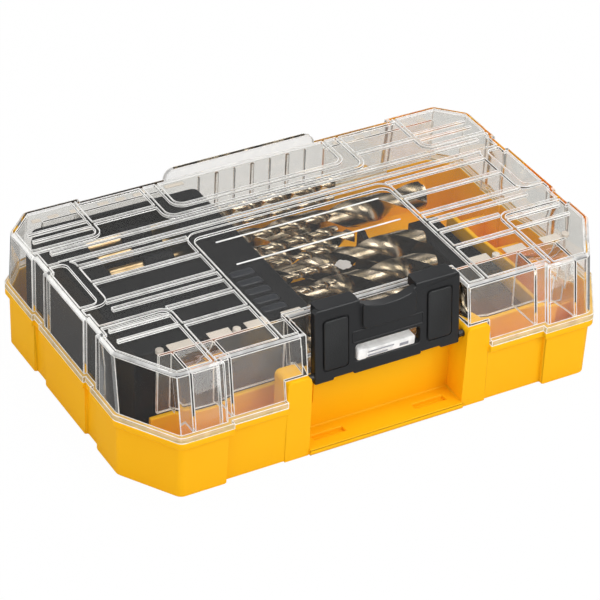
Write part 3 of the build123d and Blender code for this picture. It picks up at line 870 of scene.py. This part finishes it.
@dataclass
class Lid:
    """The clear lid, with what is moulded on and under its plate.

    Attributes:
        rim_mm: below this height the rim's faces are bright, with a painted yellow glow of the tray.
        rod_mm: the radius of the painted highlight line along each moulded edge.
        rod_angle_deg: edges sharper than this have such a line.
        wall_slope: faces whose normal rises less than this are walls.
        crest_slope: the same above the plate, where the walls of the ribs are short.
        satin_share: a wall whose normal lies this much along Y is satin.
        plate_slope: faces whose normal rises more than this are level; between are rounded edges.
        plate_under_mm: the height of the plate's lower face.
        plate_top_mm: the height of its upper face.
        tab_mm: how thick the frosted tabs under the plate are.
        front_tabs_mm: where they start and end along X, at the front.
        front_tab_ys_mm: where those start and end along Y.
        back_tabs_mm: the starts and ends along X at the back.
        back_tab_ys_mm: those along Y.
        posts_mm: the small round posts beside the tabs, along X and Y.
        post_radius_mm: a post's radius.
        post_mm: a post's height.
        gate_mm: the place of the mark that the moulding gate leaves, with its radius.
        name_lines_mm: the two raised lines beside the bare area, along Y.
        name_xs_mm: where the lines start and end along X.
        line_mm: the width of a line.
        back_ribs_mm: start, end and spacing of the ribs in the back wall, along X.
        back_rib_mm: the widths of a thin and a thick rib.
        back_rib_ys_mm: where the ribs start and end along Y.
        back_rib_zs_mm: their lower and upper height.
        nose_xs_mm: where the tongue's nose starts and ends along X.
        nose_ys_mm: the same along Y.
        nose_zs_mm: the same in height.
        nose_step_mm: how much lower its long part is than its left end.
        nose_end_mm: the length of that left end.
        insets_mm: start and end along X, then lower and upper height, of each inset in its face.
    """

    rim_mm: float = 31.2
    rod_mm: float = 0.22
    rod_angle_deg: float = 25.0
    wall_slope: float = 0.3
    crest_slope: float = 0.02
    satin_share: float = 0.8
    plate_slope: float = 0.995
    plate_under_mm: float = 55.9
    plate_top_mm: float = 57.2
    tab_mm: float = 0.35
    front_tabs_mm: tuple = ((-91, -80), (-73, -63), (-56, -46), (-39, -30),
                            (50, 60), (68, 78), (86.5, 95.5))
    front_tab_ys_mm: tuple = (-48.6, -43.8)
    back_tabs_mm: tuple = ((-101, -97), (-93.5, -88.5), (-83, -79), (-70, -65), (-61.5, -57), (-53, -46.5),
                           (-38, -29), (46, 52), (57, 62), (66, 70), (81, 85), (90, 94))
    back_tab_ys_mm: tuple = (59.6, 62.0)
    posts_mm: tuple = ((-94.6, -45.3), (-60.1, -46.0), (63.6, -46.2), (99.0, -45.6))
    post_radius_mm: float = 1.7
    post_mm: float = 1.6
    gate_mm: tuple = (1.0, -26.0, 3.4)
    name_lines_mm: tuple = (11.8, -6.5)
    name_xs_mm: tuple = (-39.0, 40.5)
    line_mm: float = 0.8
    back_ribs_mm: tuple = (-20.8, 40.0, 8.85)
    back_rib_mm: tuple = (0.6, 1.5)
    back_rib_ys_mm: tuple = (61.2, 62.4)
    back_rib_zs_mm: tuple = (36.0, 55.8)
    nose_xs_mm: tuple = (-14.7, 12.6)
    nose_ys_mm: tuple = (-66.3, -61.2)
    nose_zs_mm: tuple = (39.1, 44.2)
    nose_step_mm: float = 0.9
    nose_end_mm: float = 4.2
    insets_mm: tuple = ((-9.8, -0.5, 39.7, 40.5), (-9.8, 2.5, 41.5, 42.2), (5.2, 9.4, 40.2, 41.6))

    def shell(self, clear: Material, hazy: Material, edge: Material,
              rim: Material, line: Material) -> None:
        """Makes the lid itself and the painted highlight lines along its edges.

        Args:
            clear: the finish of the plate and the sides.
            hazy: the satin finish of the walls at the front and back.
            edge: the finish of rounded edges, whose white haze is a painted highlight.
            rim: the finish of the rim that lies on the tray, with the tray's yellow painted in as a glow.
            line: the finish of the painted highlight lines.
        """
        piece = softened_copy("lid", clear, 0.0)
        mesh = piece.data
        for extra in (hazy, edge, rim):
            mesh.materials.append(extra)
        normals = face_values(mesh, "normal")
        rise = np.abs(normals[:, 2])
        satin = (rise < self.wall_slope) & (np.abs(normals[:, 1]) > self.satin_share)
        height = face_values(mesh, "center")[:, 2]
        steep = np.where(height > self.plate_top_mm * MM, self.crest_slope, self.wall_slope)
        # rounded edge faces get the white haze of a painted highlight
        rounded = (rise > steep) & (rise < self.plate_slope)
        # the rim's faces take a painted yellow glow of the tray
        low = height < self.rim_mm * MM
        kinds = np.select([low, satin, rounded], [3, 1, 2], 0)
        mesh.polygons.foreach_set("material_index", kinds.astype(np.int32))
        points, faces = edge_rods(mesh, self.rod_angle_deg, self.rod_mm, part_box("lid"))
        log.info("lid: %d faces of edge lines", len(faces))
        # white rods along the sharp edges: painted highlight lines
        make_piece("lid_painted_highlight_lines", points, faces, line, Body.LID.value, None)

    def back_ribs(self, finish: Material) -> None:
        """Makes the upright ribs on the inside of the back wall, thin and thick in turn.

        Args:
            finish: the ribs' finish.
        """
        parts = []
        for number, x in enumerate(np.arange(*self.back_ribs_mm)):
            half = self.back_rib_mm[number % 2] / 2
            parts.append(rounded_block((x - half, self.back_rib_ys_mm[0], self.back_rib_zs_mm[0]),
                                       (x + half, self.back_rib_ys_mm[1], self.back_rib_zs_mm[1]), 0.2))
        points, faces = join_meshes(parts)
        make_piece("lid_back_ribs", points, faces, finish, Body.LID.value)

    def tabs(self, finish: Material) -> None:
        """Makes the frosted tabs and the posts under the plate.

        Args:
            finish: their finish.
        """
        low, high = self.plate_under_mm - self.tab_mm, self.plate_under_mm - 0.02
        parts = []
        for spans, (front, back) in ((self.front_tabs_mm, self.front_tab_ys_mm),
                                     (self.back_tabs_mm, self.back_tab_ys_mm)):
            parts += [rounded_block((x0, front, low), (x1, back, high), 0.12) for x0, x1 in spans]
        for x, y in self.posts_mm:
            rings = pillow(circle(self.post_radius_mm), self.post_mm, 0.3)
            parts.append(upright(rings, (x, y, high - self.post_mm)))
        points, faces = join_meshes(parts)
        make_piece("lid_tabs", points, faces, finish, Body.LID.value)

    def nose(self, finish: Material, inset: Material) -> None:
        """Makes the tongue's nose, which fills the latch's window, and the insets in its face.

        Args:
            finish: the nose's finish.
            inset: the finish of the insets.
        """
        (left, right), (front, back), (low, high) = self.nose_xs_mm, self.nose_ys_mm, self.nose_zs_mm
        parts = [rounded_block((left, front, low), (right, back, high - self.nose_step_mm), 0.5),
                 rounded_block((left, front - 0.3, low - 0.1), (left + self.nose_end_mm, back, high), 0.6)]
        points, faces = join_meshes(parts)
        make_piece("lid_tongue_nose", points, faces, finish, Body.LID.value)
        insets = [rounded_block((x0, front - 0.08, z0), (x1, front + 0.4, z1), 0.07)
                  for x0, x1, z0, z1 in self.insets_mm]
        points, faces = join_meshes(insets)
        make_piece("lid_tongue_insets", points, faces, inset, Body.LID.value)

    def marks(self, finish: Material, gate_finish: Material) -> None:
        """Makes the gate's mark and the two raised lines of the bare area on the plate.

        Args:
            finish: the lines' finish.
            gate_finish: the finish of the gate's mark.
        """
        x, y, radius = self.gate_mm
        turns = np.arctan2(*circle(1.0, 40).T[::-1])
        crinkle = radius * (1 + 0.07 * np.sin(5 * turns) + 0.04 * np.sin(9 * turns + 1))
        outline = np.stack([crinkle * np.cos(turns), crinkle * np.sin(turns)], -1)
        rings = pillow(outline, 0.45, 0.3)
        points, faces = upright(rings, (x, y, self.plate_top_mm - 0.15))
        gate = make_piece("lid_gate_mark", points, faces, gate_finish, Body.LID.value)
        (left, right), half, top = self.name_xs_mm, self.line_mm / 2, self.plate_top_mm
        parts = [rounded_block((left, line_y - half, top - 0.1), (right, line_y + half, top + 0.3), 0.15)
                 for line_y in self.name_lines_mm]
        points, faces = join_meshes(parts)
        make_piece("lid_marks", points, faces, finish, Body.LID.value)

    def build(self, finishes: dict[str, Material]) -> None:
        """Makes the lid and all that is moulded on it.

        Args:
            finishes: each finish by its name.
        """
        self.shell(*(finishes[kind.name] for kind in (CLEAR_PC, HAZY_PC, EDGE_HIGHLIGHT_PC, RIM_GLOW_PC, LINE_HIGHLIGHT_PC)))
        self.tabs(finishes[FROSTED_PC.name])
        self.back_ribs(finishes[HAZY_PC.name])
        # the nose and the raised lines take the same white haze as the painted highlight lines
        self.nose(finishes[LINE_HIGHLIGHT_PC.name], finishes[INSET_PC.name])
        self.marks(finishes[LINE_HIGHLIGHT_PC.name], finishes[GATE_PC.name])
        log.info("lid: made")


@dataclass
class TwistDrill:
    """One twist drill along X, worked out as a profile carried along its axis.

    Attributes:
        name: the CAD node that it stands for.
        diameter_mm: across the lands.
        y_mm: its place along Y.
        z_mm: its height.
        tail_mm: the shank's end along X.
        tip_mm: the point along X.
        flute_start_mm: where the flutes start along X.
        helix_deg: the angle of the flutes to the axis.
        point_deg: the point's full angle.
        land_deg: half the angle that a land takes up.
        margin_deg: the angle of the raised margin on it.
        land_share: the land's radius behind the margin, as a share of the full one.
        core_share: the core's radius as a share of the full one.
    """

    name: str
    diameter_mm: float
    y_mm: float
    z_mm: float
    tail_mm: float
    tip_mm: float
    flute_start_mm: float = -21.0
    helix_deg: float = 31.0
    point_deg: float = 118.0
    land_deg: float = 30.0
    margin_deg: float = 7.0
    land_share: float = 0.965
    core_share: float = 0.3

    def profile(self) -> np.ndarray:
        """The cross section of the fluted part: two lands and two flutes.

        A land is an arc at land_share of the radius with a full-radius margin at its leading end.
        A flute is the circle through the ends of two lands and the core.

        Returns:
            Points about the axis, in mm, going round.
        """
        radius = self.diameter_mm / 2
        land = math.radians(self.land_deg)
        margin = math.radians(self.margin_deg)
        turns = np.concatenate([np.linspace(-land, land - margin, 8),
                                np.linspace(land - 0.8 * margin, land, 4)])
        size = np.where(turns > land - margin, radius, radius * self.land_share)
        arc = np.stack([size * np.cos(turns), size * np.sin(turns)], -1)
        half_gap, rise = radius * math.cos(land), radius * math.sin(land)
        depth = rise - self.core_share * radius
        bend = (half_gap ** 2 + depth ** 2) / (2 * depth)
        reach = math.asin(min(1.0, half_gap / bend))
        sweep = np.linspace(reach, -reach, 22)[1:-1]
        flute = np.stack([bend * np.sin(sweep), self.core_share * radius + bend - bend * np.cos(sweep)], -1)
        half = np.concatenate([arc, flute])
        return np.concatenate([half, -half])

    def build(self, flute_finish: Material, shank_finish: Material) -> bpy.types.Object:
        """Makes the drill.

        The ring at a place x is the profile turned by 2 pi x / pitch. Near the shank it is blended
        with a circle, and near the point no part of it is further out than the point's cone.

        Args:
            flute_finish: the finish of the ground flutes.
            shank_finish: the finish of the plain shank.

        Returns:
            The new object, which stands for the CAD node.
        """
        radius = self.diameter_mm / 2
        pitch = math.pi * self.diameter_mm / math.tan(math.radians(self.helix_deg))
        cone = math.tan(math.radians(self.point_deg / 2))
        point = radius / cone
        body = np.arange(self.flute_start_mm, self.tip_mm - point, pitch / 48)
        nose = np.linspace(self.tip_mm - point, self.tip_mm - 0.02 * radius, 14)
        tail = np.array([self.tail_mm, self.tail_mm + 0.15, self.tail_mm + 0.4, self.tail_mm + 1.0,
                         (self.tail_mm + self.flute_start_mm) / 2, self.flute_start_mm - 0.2])
        x = np.concatenate([tail, body, nose])
        profile = self.profile()
        angle = np.arctan2(profile[:, 1], profile[:, 0])
        shank = radius * np.stack([np.cos(angle), np.sin(angle)], -1)
        run_out = np.clip((x - self.flute_start_mm) / (0.9 * self.diameter_mm), 0, 1)[:, None, None]
        blend = run_out * run_out * (3 - 2 * run_out)
        section = shank[None] * (1 - blend) + profile[None] * blend
        turn = 2 * np.pi * (x - self.flute_start_mm) / pitch
        turn = np.where(x < self.flute_start_mm, 0.0, turn)[:, None]
        y = section[..., 0] * np.cos(turn) - section[..., 1] * np.sin(turn)
        z = section[..., 0] * np.sin(turn) + section[..., 1] * np.cos(turn)
        size = np.hypot(y, z)
        limit = np.minimum((self.tip_mm - x) * cone, radius)
        from_tail = x - self.tail_mm
        limit = np.minimum(limit, radius - 0.4 + np.clip(from_tail, 0, 0.4))[:, None]
        shrink = np.minimum(1.0, limit / size)
        points = np.stack([np.broadcast_to(x[:, None], y.shape), self.y_mm + y * shrink,
                           self.z_mm + z * shrink], -1) * MM
        piece = make_piece(self.name + "_ground", points.reshape(-1, 3),
                           ring_faces(len(x), len(profile)), flute_finish, self.name + "_body", 35.0)
        piece.data.materials.append(shank_finish)
        plain = face_values(piece.data, "center")[:, 0] < (self.flute_start_mm - 0.1) * MM
        piece.data.polygons.foreach_set("material_index", plain.astype(np.int32))
        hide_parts(self.name)
        return piece


@dataclass
class DrillSet:
    """All the drills, in two rows.

    Attributes:
        upper_z_mm: the height of the upper row.
        lower_z_mm: the height of the lower row.
        long_tail_mm: where the upper row's long shanks end along X.
        short_tail_mm: where its short shanks end.
        lower_tail_mm: where the lower row's shanks end.
        upper: diameter, place along Y and tip along X of each drill in the upper row.
        lower: the same for the lower row.
        long_shanks: how many drills of the upper row have long shanks.
    """

    upper_z_mm: float = 44.0
    lower_z_mm: float = 26.0
    long_tail_mm: float = -82.0
    short_tail_mm: float = -46.0
    lower_tail_mm: float = -64.0
    upper: tuple = ((5.6, 48.6, 41.0), (5.2, 37.4, 34.0), (4.8, 26.2, 29.0), (4.4, 15.0, 23.0),
                    (3.6, 3.0, 16.0), (3.2, -8.4, 9.0), (2.8, -19.8, 2.0), (2.4, -31.2, -3.0))
    lower: tuple = ((12.7, 46.6, 89.0), (7.9, 31.4, 42.0), (11.9, 16.4, 70.0), (11.1, -1.2, 65.0),
                    (10.3, -18.0, 60.0), (9.5, -33.6, 56.0))
    long_shanks: int = 4

    def build(self, flute_finish: Material, shank_finish: Material) -> None:
        """Makes every drill.

        Args:
            flute_finish: the finish of the ground flutes.
            shank_finish: the finish of the plain shanks.
        """
        for row, height, drills in (("upper", self.upper_z_mm, self.upper),
                                    ("lower", self.lower_z_mm, self.lower)):
            for number, (diameter, y, tip) in enumerate(drills, 1):
                upper_tail = self.long_tail_mm if number <= self.long_shanks else self.short_tail_mm
                tail = upper_tail if row == "upper" else self.lower_tail_mm
                drill = TwistDrill(f"drill_{row}_{number}", diameter, y, height, tail, tip)
                drill.build(flute_finish, shank_finish)
        log.info("drills: made")


@dataclass
class HingePins:
    """The two pins, which keep their CAD shape.

    Attributes:
        nodes: the pins' CAD nodes.
    """

    nodes: tuple = ("hinge_pin_left", "hinge_pin_right")

    def build(self, finish: Material) -> None:
        """Gives the pins their finish.

        Args:
            finish: the pins' finish.
        """
        for node in self.nodes:
            target = FRAME["nodes"][node]
            for slot in target.material_slots:
                slot.material = finish
        log.info("hinge pins: dressed")


# ---- the studio --------------------------------------------------------------------------
def placed(axes: tuple, spot: tuple | np.ndarray) -> Matrix:
    """A matrix that turns and places a camera or a lamp.

    Args:
        axes: its right, up and back directions.
        spot: its place, in metres.

    Returns:
        The matrix, with the axes and the place as its columns.
    """
    matrix = Matrix.Identity(4)
    for column, values in enumerate((*axes, spot)):
        for row in range(3):
            matrix[row][column] = values[row]
    return matrix


@dataclass
class Studio:
    """Floor, lamps, world and camera.

    The camera was fitted to the photo's straight edges: its azimuth, elevation and roll, its focal
    length in pixels of a 600-pixel frame, and the point of the case that shows at a given pixel.

    Attributes:
        azimuth_deg: the camera's direction round the case, 0 being the front.
        elevation_deg: its height as an angle.
        roll_deg: its turn about its own axis.
        focal_px: its focal length in pixels.
        frame_px: the side of the frame that this is for.
        distance_mm: from the camera to the anchor point.
        anchor_mm: the anchor point on the case.
        anchor_px: the pixel that it shows at.
        soft_light_level: the world's soft light at the horizon.
        soft_light_above: the same straight above.
        dim_band: how bright the dim band is that glossy rays see.
        band_stops: the heights, as sines, where that band starts, is dim, is dim still, and ends.
        gloss_floor: how bright the floor is in reflections.
        floor_half_m: half the side of the floor.
        floor_drop_m: how far it lies under the case.
        floor_paper: the grey of its paper.
        floor_glow_share: the share of its white that doesn't depend on the light.
        lamps: name, place in metres, sides in metres and watts of each lamp.
    """

    azimuth_deg: float = -31.0
    elevation_deg: float = 34.5
    roll_deg: float = 2.8166
    focal_px: float = 2782.8
    frame_px: float = 600.0
    distance_mm: float = 1159.5
    anchor_mm: tuple = (-2.75, -66.83, 0.0)
    anchor_px: tuple = (378.0, 430.0)
    soft_light_level: float = 0.3
    soft_light_above: float = 1.0
    dim_band: float = 0.05
    band_stops: tuple = (0.2, 0.34, 0.76, 0.9)
    gloss_floor: float = 0.22
    floor_half_m: float = 3.0
    floor_drop_m: float = 0.0002
    floor_paper: float = 0.85
    floor_glow_share: float = 0.985
    lamps: tuple = (("key_lamp", (0.35, -0.75, 0.65), (0.5, 0.5), 3.3),
                    ("top_lamp", (0.15, 0.1, 1.0), (0.4, 0.4), 2.0),
                    ("fill_lamp", (-0.85, -0.35, 0.5), (0.5, 0.5), 1.3))

    def axes(self) -> tuple[np.ndarray, np.ndarray, np.ndarray]:
        """Works out how the camera is turned.

        Returns:
            Its right, up and back directions.
        """
        az, el, roll = np.radians([self.azimuth_deg, self.elevation_deg, self.roll_deg])
        back = np.array([np.sin(az) * np.cos(el), -np.cos(az) * np.cos(el), np.sin(el)])
        level = np.array([np.cos(az), np.sin(az), 0.0])
        upright = np.cross(back, level)
        right = np.cos(roll) * level + np.sin(roll) * upright
        up = -np.sin(roll) * level + np.cos(roll) * upright
        return right, up, back

    def camera(self) -> None:
        """Places the camera so that the anchor point shows at its pixel."""
        right, up, back = self.axes()
        across = (self.anchor_px[0] - self.frame_px / 2) / self.focal_px * self.distance_mm
        above = -(self.anchor_px[1] - self.frame_px / 2) / self.focal_px * self.distance_mm
        spot = np.array(self.anchor_mm) + back * self.distance_mm - right * across - up * above
        data = bpy.data.cameras.new("camera")
        data.sensor_width = 36.0
        data.lens = data.sensor_width * self.focal_px / self.frame_px
        data.clip_end = 10.0
        camera = bpy.data.objects.new("camera", data)
        camera.matrix_world = placed((right, up, back), spot * MM)
        bpy.context.scene.collection.objects.link(camera)
        bpy.context.scene.camera = camera

    def lamp(self, name: str, spot: tuple, size: tuple, power: float) -> None:
        """Adds a soft rectangular lamp that points at the case.

        Args:
            name: the lamp's name.
            spot: its place, in metres.
            size: its two sides, in metres.
            power: its power in watts.
        """
        data = bpy.data.lights.new(name, "AREA")
        data.shape = "RECTANGLE"
        data.size, data.size_y = size
        data.energy = power
        lamp = bpy.data.objects.new(name, data)
        back = np.array(spot) / np.linalg.norm(spot)
        side = np.cross((0, 0, 1), back)
        side /= np.linalg.norm(side)
        lamp.matrix_world = placed((side, np.cross(back, side), back), spot)
        bpy.context.scene.collection.objects.link(lamp)

    def world(self) -> None:
        """A pale world: white where it shows, brighter overhead for soft light, and banded for gloss.

        Glossy and transmitted rays see white low down and overhead with a dim band between, as in
        a light tent.
        """
        world = bpy.data.worlds.new("studio")
        world.use_nodes = True
        tree = world.node_tree
        tree.nodes.clear()
        direction = add_node(tree, "TexCoord").outputs["Generated"]
        height = add_node(tree, "SeparateXYZ", {"Vector": direction}).outputs["Z"]
        band = add_node(tree, "ValToRGB", {"Fac": height})
        bright, dim = (1.0, 1.0, 1.0, 1.0), (self.dim_band,) * 3 + (1.0,)
        starts, dimmed, still_dim, ends = self.band_stops
        stops = band.color_ramp.elements
        stops[0].position, stops[0].color = starts, bright
        stops[1].position, stops[1].color = dimmed, dim
        stops.new(still_dim).color = dim
        stops.new(ends).color = bright
        overhead = spread(tree, height, self.soft_light_level, self.soft_light_above)
        rays = add_node(tree, "LightPath")
        keen = larger(tree, rays.outputs["Is Glossy Ray"], rays.outputs["Is Transmission Ray"])
        soft = add_node(tree, "MapRange",
                        {"Value": keen, "To Min": overhead, "To Max": band.outputs["Color"]})
        strength = add_node(tree, "MapRange",
                            {"Value": rays.outputs["Is Camera Ray"], "To Min": soft.outputs["Result"]},
                            {"To Max": 1.0})
        shader = add_node(tree, "Background", {"Strength": strength.outputs["Result"]},
                          {"Color": (1, 1, 1, 1)})
        add_node(tree, "OutputWorld", {"Surface": shader.outputs["Background"]})
        bpy.context.scene.world = world

    def floor(self) -> None:
        """A pale floor that shows white and keeps a faint shadow."""
        half, under = self.floor_half_m, -self.floor_drop_m
        corners = np.array([[-half, -half, under], [half, -half, under],
                            [half, half, under], [-half, half, under]])
        mesh = bpy.data.meshes.new("floor")
        mesh.from_pydata(corners.tolist(), [], [[0, 1, 2, 3]])
        material, tree = new_material("floor_paper")
        paper = add_node(tree, "BsdfDiffuse", sockets={"Color": (self.floor_paper,) * 3 + (1,)})
        rays = add_node(tree, "LightPath")
        seen = larger(tree, rays.outputs["Is Camera Ray"], rays.outputs["Is Transmission Ray"])
        strength = spread(tree, seen, self.gloss_floor, 1.0)
        glow = add_node(tree, "Emission", {"Strength": strength}, {"Color": (1, 1, 1, 1)})
        glowing = larger(tree, seen, rays.outputs["Is Glossy Ray"])
        part = add_node(tree, "Math", {0: glowing}, {1: self.floor_glow_share}, operation="MULTIPLY")
        mix = add_node(tree, "MixShader",
                       {0: part.outputs[0], 1: paper.outputs["BSDF"], 2: glow.outputs["Emission"]})
        add_node(tree, "OutputMaterial", {"Surface": mix.outputs["Shader"]})
        mesh.materials.append(material)
        floor = bpy.data.objects.new("floor", mesh)
        bpy.context.scene.collection.objects.link(floor)

    def build(self) -> None:
        """Makes the whole studio."""
        self.camera()
        self.world()
        self.floor()
        for lamp in self.lamps:
            self.lamp(*lamp)
        bpy.context.scene.view_settings.view_transform = "Standard"
        log.info("studio: made")


def main() -> None:
    """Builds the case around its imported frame, piece by piece."""
    logging.basicConfig(level=logging.INFO)
    FRAME.update(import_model())
    Studio().build()
    finishes = {finish.name: finish.build() for finish in (
        YELLOW_ABS, BLACK_TEXTURED, BLACK_STIPPLED, RACK_BLACK, RACK_PAINTED_SHEEN, CLEAR_PC, HAZY_PC, EDGE_HIGHLIGHT_PC,
        LINE_HIGHLIGHT_PC, RIM_GLOW_PC, INSET_PC, GATE_PC, FROSTED_PC, BRONZE_STEEL, SHANK_STEEL, PIN_STEEL)}
    Tray().build(finishes[YELLOW_ABS.name])
    Rack().build(finishes[RACK_BLACK.name], finishes[RACK_PAINTED_SHEEN.name])
    DrillSet().build(finishes[BRONZE_STEEL.name], finishes[SHANK_STEEL.name])
    HingePins().build(finishes[PIN_STEEL.name])
    Lid().build(finishes)
    Latch().build(finishes[BLACK_TEXTURED.name], finishes[BLACK_STIPPLED.name])


if __name__ == "__main__":
    main()
